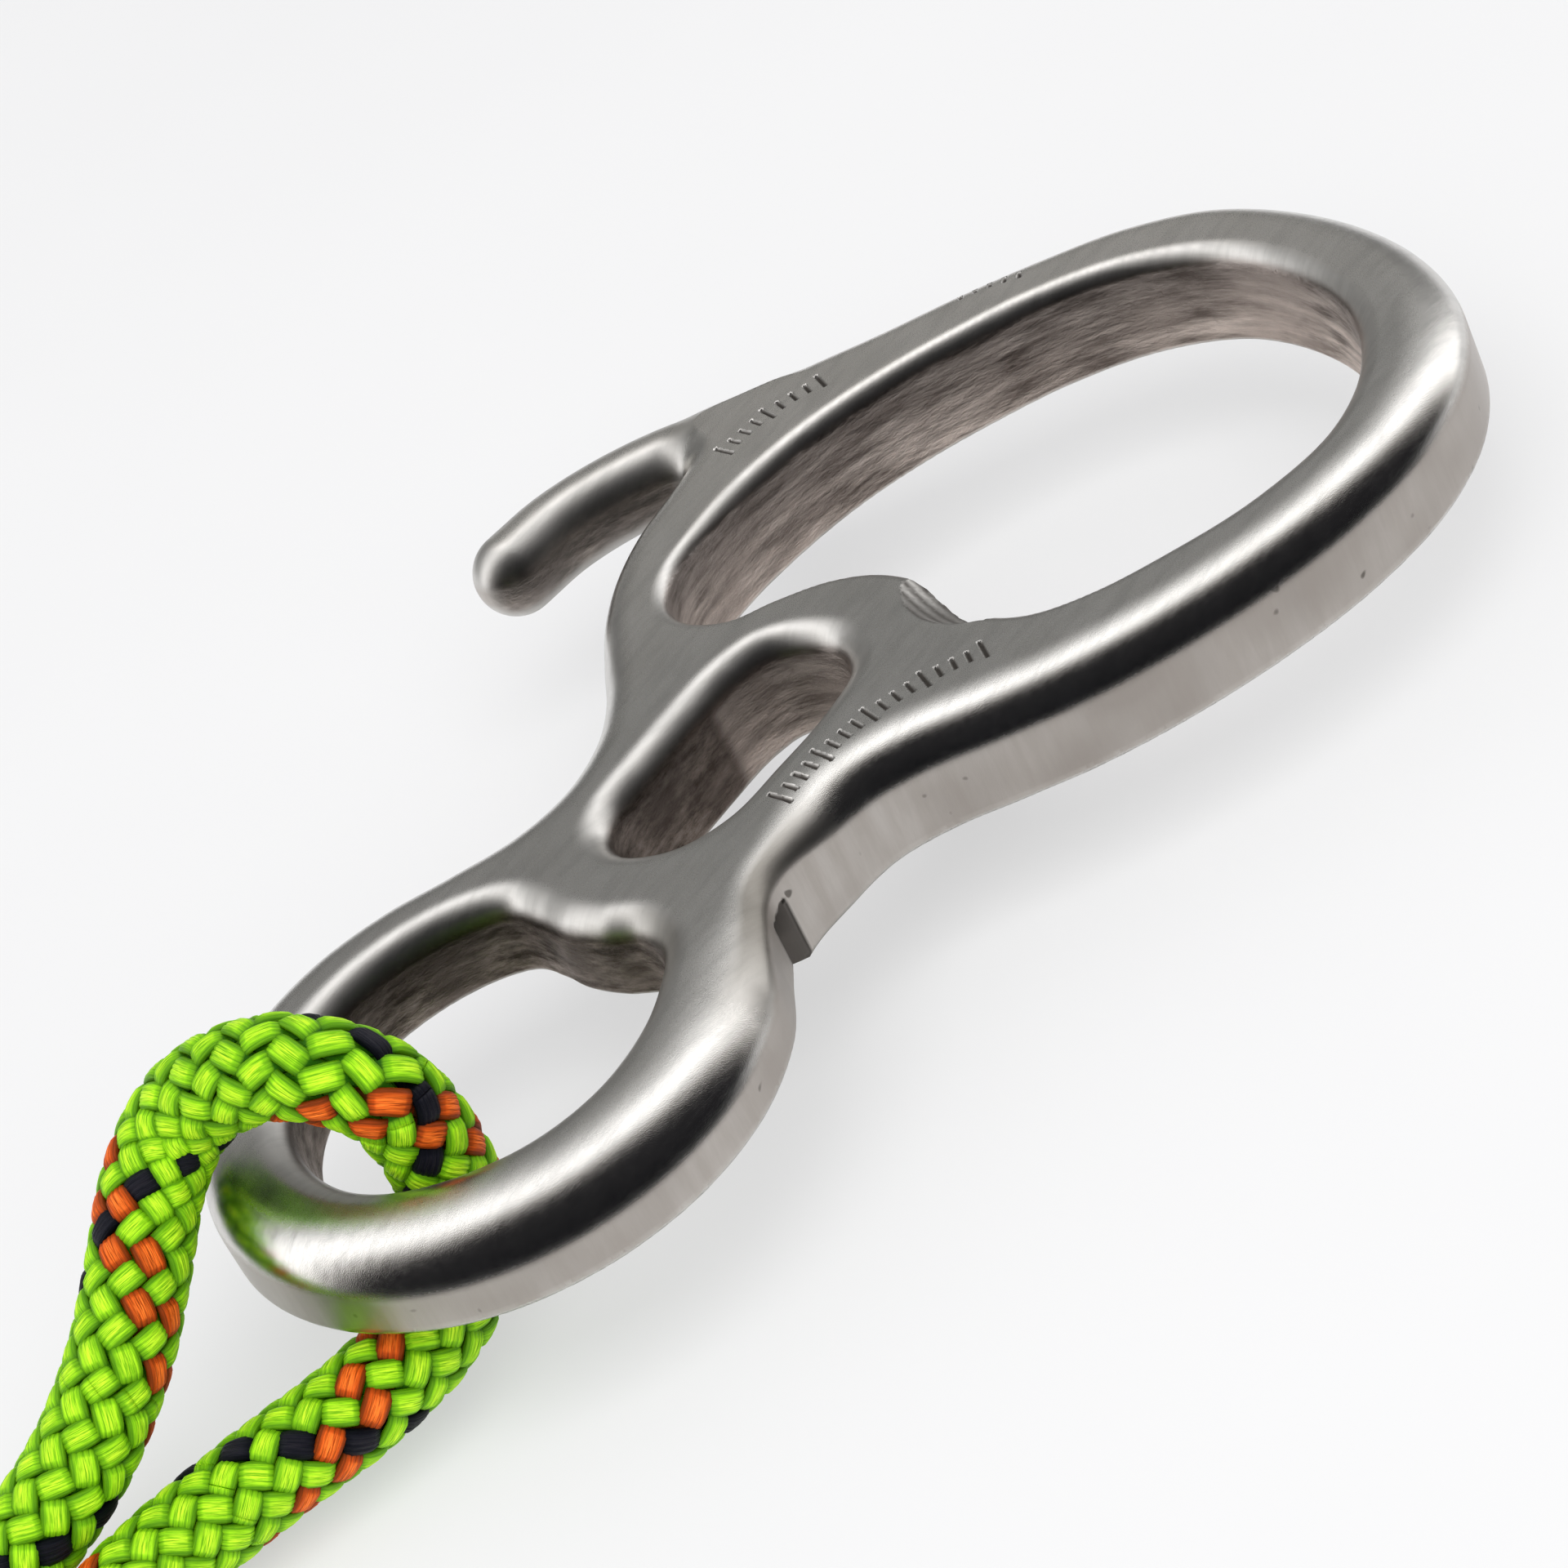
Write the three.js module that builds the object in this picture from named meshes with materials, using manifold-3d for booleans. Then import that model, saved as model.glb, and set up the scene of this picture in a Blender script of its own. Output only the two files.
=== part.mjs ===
// Asymmetric rescue descender: one stainless plate with a small eye, a middle slot, a big ring
// and one horn, with a doubled kernmantle rope threaded through the small eye.
// Millimetres. +X runs from the small eye to the big ring, +Y to the side with the horn and
// +Z through the plate. Outlines are drawn from the centre of the small eye, at the underside's
// height; the finished group is moved so that the part's origin is its rest point.

import * as THREE from 'three';
import { mergeVertices } from 'three/addons/utils/BufferGeometryUtils.js';
import Module from 'manifold-3d';

const wasm = await Module();
wasm.setup();

// ---- driving dimensions ----

const PLATE_THICK = 13;
const TOP_ROUND = 4;
const TOP_ROUND_STEPS = 4;
const EYE_OUTER_R = 32.5;
const EYE_RELIEF = 2.5;
const EYE_RELIEF_END_X = 26.8;
const HORN_R = 5.3;
const HORN_CENTRE_Z = 6.9;
// The rest point, from the small eye's centre: on the flat underside of the web beside the slot.
const REST_POINT = [60, -13, 0];

const ROPE_R = 5.5;
const SHEATH_BORE_R = 3.7;
const STRAND_R = 1.55;
const STRAND_OFFSET = 1.95;
const STRAND_COUNT = 3;
const FLEX_GAP = 2.8;

// ---- outlines, as a few points on smooth closed curves ----

const eyeRingPoint = (degrees) => {
  const a = THREE.MathUtils.degToRad(degrees);
  return [EYE_OUTER_R * Math.cos(a), EYE_OUTER_R * Math.sin(a)];
};

// Outer edge without the horn, counter-clockwise from the horn side of the small eye.
const OUTER_EDGE = [
  ...[62, 80, 100, 120, 140, 160, 180, 200, 220, 240, 260, 280, 300, 316].map(eyeRingPoint),
  [27.4, -19.6], [31.5, -18.4], [38, -18.6], [45, -19.6], [51, -23.2], [57, -29], [64, -35.4],
  [73, -41.6], [84, -47.2], [96, -51.2], [109, -52.6], [122, -50], [134, -42.6], [143, -31],
  [148.2, -16], [148.4, -1], [143.6, 10.4], [136.2, 19.2], [128.2, 26.8], [120, 33.6],
  [112.1, 39.8], [105.8, 45.4], [100.4, 48.4], [96.2, 47.8], [92.4, 44.8], [86, 43.4], [78.5, 42.2],
  [71, 39.6], [64, 35.6], [57.6, 30.4], [51.4, 25], [44.4, 20.9], [36.6, 19.1], [29.4, 20.3],
  [22.4, 24.2],
];

// Hole of the small eye: round, with a flattened, slightly bulging side towards the slot.
const EYE_HOLE = [
  [-20.6, 1], [-18.8, 9.4], [-14, 16.2], [-6.6, 20.7], [1.6, 21.6], [9.6, 19.6], [15.4, 15.8],
  [18.4, 11.6], [18.2, 7.2], [17.3, 2.4], [17.6, -3], [18.8, -7.6], [17.4, -12], [12.4, -15.4],
  [6, -17.9], [-2, -18.6], [-9.4, -16.4], [-15.4, -11.6], [-19.3, -5.6],
];

// Middle slot: a pear, narrow towards the small eye and wide towards the big ring.
const SLOT = [
  [29.4, 2.4], [31, 6.6], [35.2, 8.9], [42, 9.4], [49.8, 9.7], [57.4, 9.5], [62.6, 7.6], [64.9, 3.2],
  [65, -1.4], [61.4, -5.8], [54, -7.3], [45, -7.2], [37, -6.6], [31.6, -3.4],
];

// Hole of the big ring: its near side bulges round the slot, between a deep and a shallow pocket.
const BIG_HOLE = [
  [65, 21.2], [67.2, 26.4], [72.6, 29.8], [81.4, 30.8], [91, 30], [100.8, 27.7], [109.8, 23.8],
  [118.2, 18.7], [126.6, 12.2], [133.6, 3.4], [137, -7.4], [135.2, -19.4], [129, -31], [118.6, -38.8],
  [107, -41.6], [96, -39.4], [86, -34.6], [77.6, -29.2], [73, -23.6], [72, -17.4], [74, -11.4],
  [76.4, -5.4], [76.6, 1], [74.4, 6.8], [70.2, 11.8], [66.2, 15.6],
];

// Middle line of the horn, from inside the big ring's shoulder out to its free tip.
const HORN_LINE = [
  [105, 40.2], [101.2, 46], [96.5, 51.5], [90.1, 56.6], [82.9, 60], [75.1, 61.2],
];

// Middle line of the rope: the free end under the ring, up through the eye, over the bar
// and down outside it to the other free end.
const ROPE_LINE = [
  [-92, 8.4, -7.6], [-76, 8.2, -7.4], [-60, 7, -7], [-46, 2.4, -6.3], [-34, -2.6, -5.7],
  [-24.6, -4.2, -5.2], [-18.4, -4, -3.5], [-13.9, -3.6, 1.2], [-12.5, -3.2, 7.6],
  [-12.8, -3.2, 14], [-14.2, -2.6, 19.6], [-16.4, 0.6, 23.5], [-18.4, 5.4, 24.9], [-20.6, 11, 24],
  [-22.8, 16, 21.6], [-25.6, 18.6, 19], [-30.4, 19.2, 15.8], [-37.4, 17.2, 11.8],
  [-46.2, 15.2, 7], [-56, 15.6, 2], [-72, 19.8, -3.8], [-92, 22, -7.6],
];

// Distances along the rope's middle line, as shares of its length, where it can flex.
const UNDER_END_FLEX = 0.15;
const UNDER_FLEX = 0.279;
const OVER_FLEX = 0.703;
const OVER_END_FLEX = 0.841;

// ---- geometry helpers ----

const smoothLoop = (points, count) => {
  const knots = points.map(([x, y]) => new THREE.Vector3(x, y, 0));
  const curve = new THREE.CatmullRomCurve3(knots, true, 'centripetal');
  return curve.getSpacedPoints(count).slice(0, count).map((p) => new THREE.Vector2(p.x, p.y));
};

const bare = (geometry) => {
  const copy = geometry.index ? geometry.toNonIndexed() : geometry.clone();
  copy.deleteAttribute('normal');
  copy.deleteAttribute('uv');
  return mergeVertices(copy, 1e-4);
};

const toManifold = (geometry) => {
  const clean = bare(geometry);
  return new wasm.Manifold(new wasm.Mesh({
    numProp: 3,
    vertProperties: new Float32Array(clean.attributes.position.array),
    triVerts: new Uint32Array(clean.index.array),
  }));
};

const fromManifold = (solid) => {
  const mesh = solid.getMesh();
  const geometry = new THREE.BufferGeometry();
  geometry.setAttribute('position', new THREE.BufferAttribute(mesh.vertProperties, 3));
  geometry.setIndex(new THREE.BufferAttribute(mesh.triVerts, 1));
  geometry.computeVertexNormals();
  return geometry;
};

const boxBetween = (low, high) => {
  const size = high.map((value, i) => value - low[i]);
  const box = new THREE.BoxGeometry(...size);
  box.translate(...low.map((value, i) => value + size[i] / 2));
  return box;
};

// A straight prism over a closed outline, between two heights.
const prism = (corners, low, high) => {
  const shape = new THREE.Shape(corners.map(([x, y]) => new THREE.Vector2(x, y)));
  const solid = new THREE.ExtrudeGeometry(shape, { depth: high - low, bevelEnabled: false });
  solid.translate(0, 0, low);
  return solid;
};

const circlePath = (Kind, x, y, radius, sides) => {
  const points = [];
  for (let i = 0; i < sides; i += 1) {
    const a = (2 * Math.PI * i) / sides;
    points.push(new THREE.Vector2(x + radius * Math.cos(a), y + radius * Math.sin(a)));
  }
  return new Kind(points);
};

// ---- the metal body ----

const plateWithHoles = () => {
  const shape = new THREE.Shape(smoothLoop(OUTER_EDGE, 132));
  shape.holes.push(new THREE.Path(smoothLoop(EYE_HOLE, 44)));
  shape.holes.push(new THREE.Path(smoothLoop(SLOT, 36)));
  shape.holes.push(new THREE.Path(smoothLoop(BIG_HOLE, 72)));
  // Both ends come out rounded; the lower round is cut off flat at the underside.
  const straight = PLATE_THICK + 2 - TOP_ROUND;
  const solid = new THREE.ExtrudeGeometry(shape, {
    depth: straight,
    bevelEnabled: true,
    bevelThickness: TOP_ROUND,
    bevelSize: TOP_ROUND,
    bevelOffset: -TOP_ROUND,
    bevelSegments: TOP_ROUND_STEPS,
  });
  solid.translate(0, 0, -2);
  return solid;
};

const hornBar = () => {
  const knots = HORN_LINE.map(([x, y]) => new THREE.Vector3(x, y, HORN_CENTRE_Z));
  const line = new THREE.CatmullRomCurve3(knots, false, 'centripetal');
  const bar = new THREE.ExtrudeGeometry(circlePath(THREE.Shape, 0, 0, HORN_R, 18), {
    steps: 18,
    bevelEnabled: false,
    extrudePath: line,
  });
  const tip = new THREE.SphereGeometry(HORN_R, 18, 12);
  tip.translate(...knots[knots.length - 1].toArray());
  return toManifold(bar).add(toManifold(tip));
};

const descenderBody = () => {
  const slab = toManifold(boxBetween([-60, -80, 0], [180, 90, PLATE_THICK + 5]));
  const relief = toManifold(boxBetween([-60, -80, -5], [EYE_RELIEF_END_X, 90, EYE_RELIEF]));
  const notchCorners = [[25.2, -23.5], [29.4, -23.5], [29.6, -18.4], [27.2, -14.6]];
  const notch = toManifold(prism(notchCorners, -5, PLATE_THICK - 3.6));
  const body = toManifold(plateWithHoles()).intersect(slab).add(hornBar());
  return fromManifold(body.subtract(relief).subtract(notch));
};

// ---- the rope ----

const ropeKnots = ROPE_LINE.map(([x, y, z]) => new THREE.Vector3(x, y, z));
const ropeLine = new THREE.CatmullRomCurve3(ropeKnots, false, 'centripetal');
ropeLine.arcLengthDivisions = 2000;
const ropeLength = ropeLine.getLength();

// The stretch of the rope's middle line between two shares of its length.
const stretch = (from, to, steps) => {
  const points = [];
  for (let i = 0; i <= steps; i += 1) {
    points.push(ropeLine.getPointAt(from + ((to - from) * i) / steps));
  }
  return new THREE.CatmullRomCurve3(points, false, 'centripetal');
};

const alongStretch = (shape, from, to) => {
  const steps = Math.max(6, Math.round(((to - from) * ropeLength) / 3.2));
  return new THREE.ExtrudeGeometry(shape, {
    steps,
    bevelEnabled: false,
    extrudePath: stretch(from, to, steps),
  });
};

const sheathTube = (from, to) => {
  const shape = circlePath(THREE.Shape, 0, 0, ROPE_R, 18);
  shape.holes.push(circlePath(THREE.Path, 0, 0, SHEATH_BORE_R, 12));
  return alongStretch(shape, from, to);
};

const coreStrand = (index, from, to) => {
  const a = (2 * Math.PI * index) / STRAND_COUNT;
  const x = STRAND_OFFSET * Math.cos(a);
  const y = STRAND_OFFSET * Math.sin(a);
  return alongStretch(circlePath(THREE.Shape, x, y, STRAND_R, 7), from, to);
};

// ---- assembly ----

const group = new THREE.Group();
group.name = 'rope_descender';

const addPiece = (name, geometry, colour, metalness, roughness) => {
  const finish = { color: colour, metalness, roughness };
  const piece = new THREE.Mesh(bare(geometry), new THREE.MeshStandardMaterial(finish));
  piece.geometry.computeVertexNormals();
  piece.name = name;
  group.add(piece);
};

addPiece('descender_body', descenderBody(), 0x8f8f8c, 1, 0.35);

const halfGap = FLEX_GAP / 2 / ropeLength;
const ropeStretches = [
  ['under_leg_end', 0, UNDER_END_FLEX - halfGap],
  ['under_leg', UNDER_END_FLEX + halfGap, UNDER_FLEX - halfGap],
  ['bight', UNDER_FLEX + halfGap, OVER_FLEX - halfGap],
  ['over_leg', OVER_FLEX + halfGap, OVER_END_FLEX - halfGap],
  ['over_leg_end', OVER_END_FLEX + halfGap, 1],
];
for (const [name, from, to] of ropeStretches) {
  addPiece(`${name}_sheath`, sheathTube(from, to), 0x6fd620, 0, 0.8);
  for (let i = 0; i < STRAND_COUNT; i += 1) {
    addPiece(`${name}_core_strand_${i + 1}`, coreStrand(i, from, to), 0xe9e6dc, 0, 0.85);
  }
}

group.position.set(...REST_POINT.map((value) => -value));

export default group;
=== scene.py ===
"""Rope descender: a ground and polished stainless body with a braided rope through its small eye.

Shapes are worked out in millimetres from the centre of the small eye, at the underside's height.
REST_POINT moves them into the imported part's frame, and MM turns them into metres.
"""

import math

import bmesh
import bpy
import numpy as np
from mathutils import Matrix, Vector


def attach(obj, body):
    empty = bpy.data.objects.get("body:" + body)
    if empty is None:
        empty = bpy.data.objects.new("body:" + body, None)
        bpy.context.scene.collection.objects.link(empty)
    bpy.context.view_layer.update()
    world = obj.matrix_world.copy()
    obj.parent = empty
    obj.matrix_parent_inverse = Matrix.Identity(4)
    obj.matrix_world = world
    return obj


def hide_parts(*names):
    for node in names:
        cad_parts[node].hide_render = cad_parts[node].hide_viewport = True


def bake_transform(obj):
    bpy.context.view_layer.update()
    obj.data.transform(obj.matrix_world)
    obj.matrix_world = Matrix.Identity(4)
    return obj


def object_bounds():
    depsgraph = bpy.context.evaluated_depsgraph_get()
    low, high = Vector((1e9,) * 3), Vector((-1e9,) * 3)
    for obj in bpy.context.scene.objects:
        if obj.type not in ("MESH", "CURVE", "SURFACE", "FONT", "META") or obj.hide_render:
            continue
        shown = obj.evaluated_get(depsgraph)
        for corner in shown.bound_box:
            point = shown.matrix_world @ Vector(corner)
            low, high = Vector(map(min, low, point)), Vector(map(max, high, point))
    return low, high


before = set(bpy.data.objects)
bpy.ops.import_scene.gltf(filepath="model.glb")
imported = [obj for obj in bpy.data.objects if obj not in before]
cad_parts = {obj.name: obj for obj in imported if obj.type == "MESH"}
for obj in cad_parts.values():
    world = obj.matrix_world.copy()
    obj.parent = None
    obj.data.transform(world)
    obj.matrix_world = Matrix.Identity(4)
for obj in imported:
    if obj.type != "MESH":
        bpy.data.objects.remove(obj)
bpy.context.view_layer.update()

MM = 0.001
REST_POINT = np.array([60.0, -13.0, 0.0])

# ---- the metal body's sizes ----

PLATE_THICK = 13.0
HORN_SIDE_ROUND = 5.2
FREE_SIDE_ROUND = 4.9
EYE_SIDE_ROUND = 6.0
FREE_SIDE_REACH = 6.9
EYE_SIDE_REACH = 9.2
NECK_ROUND = 3.0
NECK_REACH = 4.2
EYE_ROUND = 4.2
SLOT_ROUND = 3.4
RING_ROUND = 2.8
POCKET_ROUND = 1.8
RING_X = 92.0
POCKET_X = 74.0
BOTTOM_ROUND = 1.1
SLOT_DRAFT = 0.13
RING_DRAFT = 0.05
EYE_OUTER_R = 32.5
EYE_RELIEF = 2.5
EYE_RELIEF_END_X = 26.8
HORN_R = 5.3
HORN_CENTRE_Z = 6.9
HORN_FILLET = 4.0
NOTCH_TOP = 8.4
NET_SPACING = 0.62

# Outer edge without the horn, counter-clockwise from the horn side of the small eye.
EYE_RING = [
    (EYE_OUTER_R * math.cos(math.radians(a)), EYE_OUTER_R * math.sin(math.radians(a)))
    for a in (62, 80, 100, 120, 140, 160, 180, 200, 220, 240, 260, 280, 300, 316)
]
OUTER_EDGE = EYE_RING + [
    (27.4, -19.6), (31.5, -18.4), (38, -18.6), (45, -19.6), (51, -23.2), (57, -29), (64, -35.4),
    (73, -41.6), (84, -47.2), (96, -51.2), (109, -52.6), (122, -50), (134, -42.6), (143, -31),
    (148.2, -16), (148.4, -1), (143.6, 10.4), (136.2, 19.2), (128.2, 26.8), (120, 33.6),
    (112.6, 40.3), (105.6, 45.2), (100.4, 48.4), (96.2, 47.8), (92.4, 44.8), (86, 43.4),
    (78.5, 42.2), (71, 39.6), (64, 35.6), (57.6, 30.4), (51.4, 25), (44.4, 20.9), (36.6, 19.1),
    (29.4, 20.3), (22.4, 24.2),
]

# Hole of the small eye: round, with a flattened, slightly bulging side towards the slot.
EYE_HOLE = [
    (-20.6, 1), (-18.8, 9.4), (-14, 16.2), (-6.6, 20.7), (1.6, 21.6), (9.6, 19.6), (15.4, 15.8),
    (18.4, 11.6), (18.2, 7.2), (17.3, 2.4), (17.6, -3), (18.8, -7.6), (17.4, -12), (12.4, -15.4),
    (6, -17.9), (-2, -18.6), (-9.4, -16.4), (-15.4, -11.6), (-19.3, -5.6),
]

# Middle slot: a pear, narrow towards the small eye and wide towards the big ring.
SLOT = [
    (29.4, 2.4), (31, 6.6), (35.2, 8.9), (42, 9.4), (49.8, 9.7), (57.4, 9.5), (62.6, 7.6),
    (64.9, 3.2), (65, -1.4), (61.4, -5.8), (54, -7.3), (45, -7.2), (37, -6.6), (31.6, -3.4),
]

# Hole of the big ring: its near side bulges round the slot, between a deep and a shallow pocket.
BIG_HOLE = [
    (65, 21.2), (67.2, 26.4), (72.6, 29.8), (81.4, 30.8), (91, 30), (100.8, 27.7), (109.8, 23.8),
    (118.2, 18.7), (126.6, 12.2), (133.6, 3.4), (137, -7.4), (135.2, -19.4), (129, -31),
    (118.6, -38.8), (107, -41.6), (96, -39.4), (86, -34.6), (77.6, -29.2), (73, -23.6),
    (72, -17.4), (74, -11.4), (76.4, -5.4), (76.6, 1), (74.4, 6.8), (70.2, 11.8), (66.2, 15.6),
]

# Middle line of the horn, from inside the big ring's shoulder out to its free tip.
HORN_LINE = [(104.5, 39.6), (100.9, 45.7), (96.5, 51.5), (90.1, 56.6), (82.9, 60), (75.1, 61.2)]

# Middle of the filed, satin patch on the neck's round edge, and how far the patch fades out; the
# patch's colour is darkened there as painted shade that dims the edge's highlight.
NECK_CENTRE = (26.0, -20.5)
NECK_SPREAD = 24.0

# Corners of the notch under the neck, counter-clockwise.
NOTCH = [(24.4, -25.0), (29.6, -25.0), (29.9, -18.4), (27.4, -15.9)]

# Ball that scoops the edge of the big ring's hole beside the slot, and the grinding bands it
# leaves, in radians to a millimetre across and along the plate.
SCOOP_CENTRE = (79.9, -13.7, 22.0)
SCOOP_R = 14.0
SCOOP_BANDS = (4.2, -1.5)

# Rows of plain tick bars cut in the flat top: beside the slot, on the arm and on the far rim.
# Each row has its line, its number of bars, and a short and a long bar's length.
TICK_ROWS = [
    ([(40, -12.6), (47, -13.2), (54, -15), (60.5, -18.2), (66, -22.4)], 17, 2.2, 3.5),
    ([(93.9, 38.0), (100.3, 37), (104.3, 35.4), (108.1, 33.2)], 9, 2.2, 3.4),
    ([(125.8, 23.9), (128.3, 21.4), (130.6, 18)], 5, 1.5, 1.5),
]
TICK_LONG_EVERY = 4
TICK_WIDTH = 0.5
TICK_DEPTH = 0.4
TICK_SLOPE = 0.12
TICK_SKIN = 0.8

# ---- the rope's sizes ----

# Middle line of the rope: the free end under the ring, up through the eye, over the bar
# and down outside it to the other free end.
ROPE_LINE = [
    (-92, 8.4, -7.6), (-76, 8.2, -7.4), (-60, 7, -7), (-46, 2.4, -6.3), (-34, -2.6, -5.7),
    (-24.6, -4.2, -5.2), (-18.4, -4, -3.5), (-13.9, -3.6, 1.2), (-12.5, -3.2, 7.6),
    (-12.8, -3.2, 14), (-14.2, -2.6, 19.6), (-16.4, 0.6, 23.5), (-18.4, 5.4, 24.9),
    (-20.6, 11, 24), (-22.8, 16, 21.6), (-25.6, 18.6, 19), (-30.4, 19.2, 15.8),
    (-37.4, 17.2, 11.8), (-46.2, 15.2, 7), (-56, 15.6, 2), (-72, 19.8, -3.8), (-92, 22, -7.6),
]
BRAID_R = 4.4
BRAID_LEAD = 41.6
STRANDS_EACH_WAY = 8
BRAID_ANGLE = math.atan2(2 * math.pi * BRAID_R, BRAID_LEAD)
CROSSING = BRAID_LEAD / (2 * STRANDS_EACH_WAY)
STRAND_HALF_WIDTH = 1.5
STRAND_HALF_THICK = 0.56
STRAND_LIFT = 0.46
DIVE = 2.3
LINER_R = 3.92
ROUND_SIDES = 24
YARNS = 5
YARN_RIDGE = 0.08
RING_STEP = CROSSING / 7
CROWN_SQUARENESS = 2.8
CROWN_FULLNESS = 0.55
ORANGE_STRANDS = (2, 3)
DARK_STRAND = 5
GREEN = (0.37, 0.86, 0.006)
ORANGE = (0.80, 0.095, 0.002)
DARK = (0.010, 0.010, 0.017)

# The fused end of the rope: each ring's distance past the cut, and its radius.
FUSED_RINGS = [
    (-2.6, 4.7), (-2.2, 5.45), (-0.6, 5.5), (0.4, 5.2), (1.0, 4.3), (1.35, 2.6), (1.45, 0.6),
]

# Places where the rope flexes, as shares of its length, with the bodies either side.
ROPE_JOINTS = [
    ("under_leg_end", "under_leg", 0.15),
    ("under_leg", "bight", 0.279),
    ("bight", "over_leg", 0.703),
    ("over_leg", "over_leg_end", 0.841),
]


# ---- curves ----


def smooth_curve(knots, closed, steps=24):
    """Points on the centripetal Catmull-Rom curve through the knots, steps to a span."""
    knots = np.array(knots, float)
    if closed:
        padded = np.vstack([knots[-1:], knots, knots[:2]])
    else:
        padded = np.vstack([2 * knots[:1] - knots[1:2], knots, 2 * knots[-1:] - knots[-2:-1]])
    t = np.linspace(0, 1, steps, endpoint=False)[:, None]
    spans = []
    for a, b, c, d in zip(padded, padded[1:], padded[2:], padded[3:]):
        ab, bc, cd = (np.linalg.norm(q - p) ** 0.5 for p, q in ((a, b), (b, c), (c, d)))
        leave = ((b - a) / ab - (c - a) / (ab + bc) + (c - b) / bc) * bc
        arrive = ((c - b) / bc - (d - b) / (bc + cd) + (d - c) / cd) * bc
        spans.append(
            (2 * t**3 - 3 * t**2 + 1) * b
            + (t**3 - 2 * t**2 + t) * leave
            + (3 * t**2 - 2 * t**3) * c
            + (t**3 - t**2) * arrive
        )
    last = knots[:1] if closed else knots[-1:]
    return np.vstack(spans + [last])


def lengths_along(points):
    """Distance from the first point to each point, along the line."""
    steps = np.linalg.norm(np.diff(points, axis=0), axis=1)
    return np.concatenate([[0.0], np.cumsum(steps)])


def even_points(points, spacing):
    """The same line with its points evenly spaced, both ends kept."""
    run = lengths_along(points)
    count = max(2, round(run[-1] / spacing) + 1)
    places = np.linspace(0, run[-1], count)
    return np.stack([np.interp(places, run, axis) for axis in points.T], axis=1)


def unit(vectors):
    return vectors / np.linalg.norm(vectors, axis=-1, keepdims=True)


# ---- the metal body, as a distance field ----


class Map:
    """Values on a flat grid, read anywhere by smooth cubic interpolation."""

    def __init__(self, low, high, spacing):
        self.low = np.array(low, float)
        self.spacing = spacing
        self.shape = tuple(np.ceil((np.array(high) - low) / spacing).astype(int) + 1)
        x, y = (low[i] + spacing * np.arange(self.shape[i]) for i in (0, 1))
        self.points = np.stack(np.meshgrid(x, y, indexing="ij"), axis=-1).reshape(-1, 2)

    def read(self, table, x, y):
        place = (np.stack([x, y]) - self.low[:, None]) / self.spacing
        limit = np.array(self.shape)[:, None] - 3
        cell = np.clip(np.floor(place).astype(int), 1, limit)
        t = place - cell
        weights = np.stack(
            [
                (-t**3 + 2 * t**2 - t) / 2,
                (3 * t**3 - 5 * t**2 + 2) / 2,
                (-3 * t**3 + 4 * t**2 + t) / 2,
                (t**3 - t**2) / 2,
            ]
        )
        total = 0
        for i in range(4):
            for j in range(4):
                value = table[cell[0] + i - 1, cell[1] + j - 1]
                total = total + weights[i, 0] * weights[j, 1] * value
        return total


def loop_distance(points, knots, inside_is_metal):
    """Signed distance in the plane to a closed smooth outline, negative in the metal.

    Also how far the outline's nearest point faces away from the horn side, from -1 to 1.
    """
    line = even_points(smooth_curve(knots, closed=True), 0.3)[:-1]
    along = unit(np.roll(line, -1, axis=0) - np.roll(line, 1, axis=0))
    outward = np.stack([along[:, 1], -along[:, 0]], axis=1)
    area = np.sum(line[:, 0] * np.roll(line[:, 1], -1) - line[:, 1] * np.roll(line[:, 0], -1))
    if area < 0:
        outward = -outward
    distance = np.empty(len(points))
    facing = np.empty(len(points))
    for start in range(0, len(points), 4096):
        part = points[start : start + 4096]
        gaps = (part**2).sum(1)[:, None] + (line**2).sum(1) - 2 * part @ line.T
        near = gaps.argmin(1)
        distance[start : start + 4096] = ((part - line[near]) * outward[near]).sum(1)
        facing[start : start + 4096] = -outward[near, 1]
    return (distance if inside_is_metal else -distance), facing


def line_distance_squared(points, line):
    """Squared distance in the plane to an open line of short straight pieces."""
    best = np.full(len(points), np.inf)
    for a, b in zip(line, line[1:]):
        step = b - a
        t = np.clip((points - a) @ step / (step @ step), 0, 1)
        gap = points - a - t[:, None] * step
        best = np.minimum(best, (gap**2).sum(1))
    return best


def rounded_edge(wall, face, radius, reach):
    """Distance to the meeting of a wall and a face, both negative inside, with a round edge.

    The round runs down the wall for its radius and across the face for its reach.
    """
    a = wall * radius / reach + radius
    b = face + radius
    return np.minimum(np.maximum(a, b), 0) + np.hypot(np.maximum(a, 0), np.maximum(b, 0)) - radius


def smooth_join(a, b, width):
    """The union of two distance fields with a fillet where they meet."""
    overlap = np.maximum(width - np.abs(a - b), 0) / width
    return np.minimum(a, b) - overlap**2 * width / 4


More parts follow.
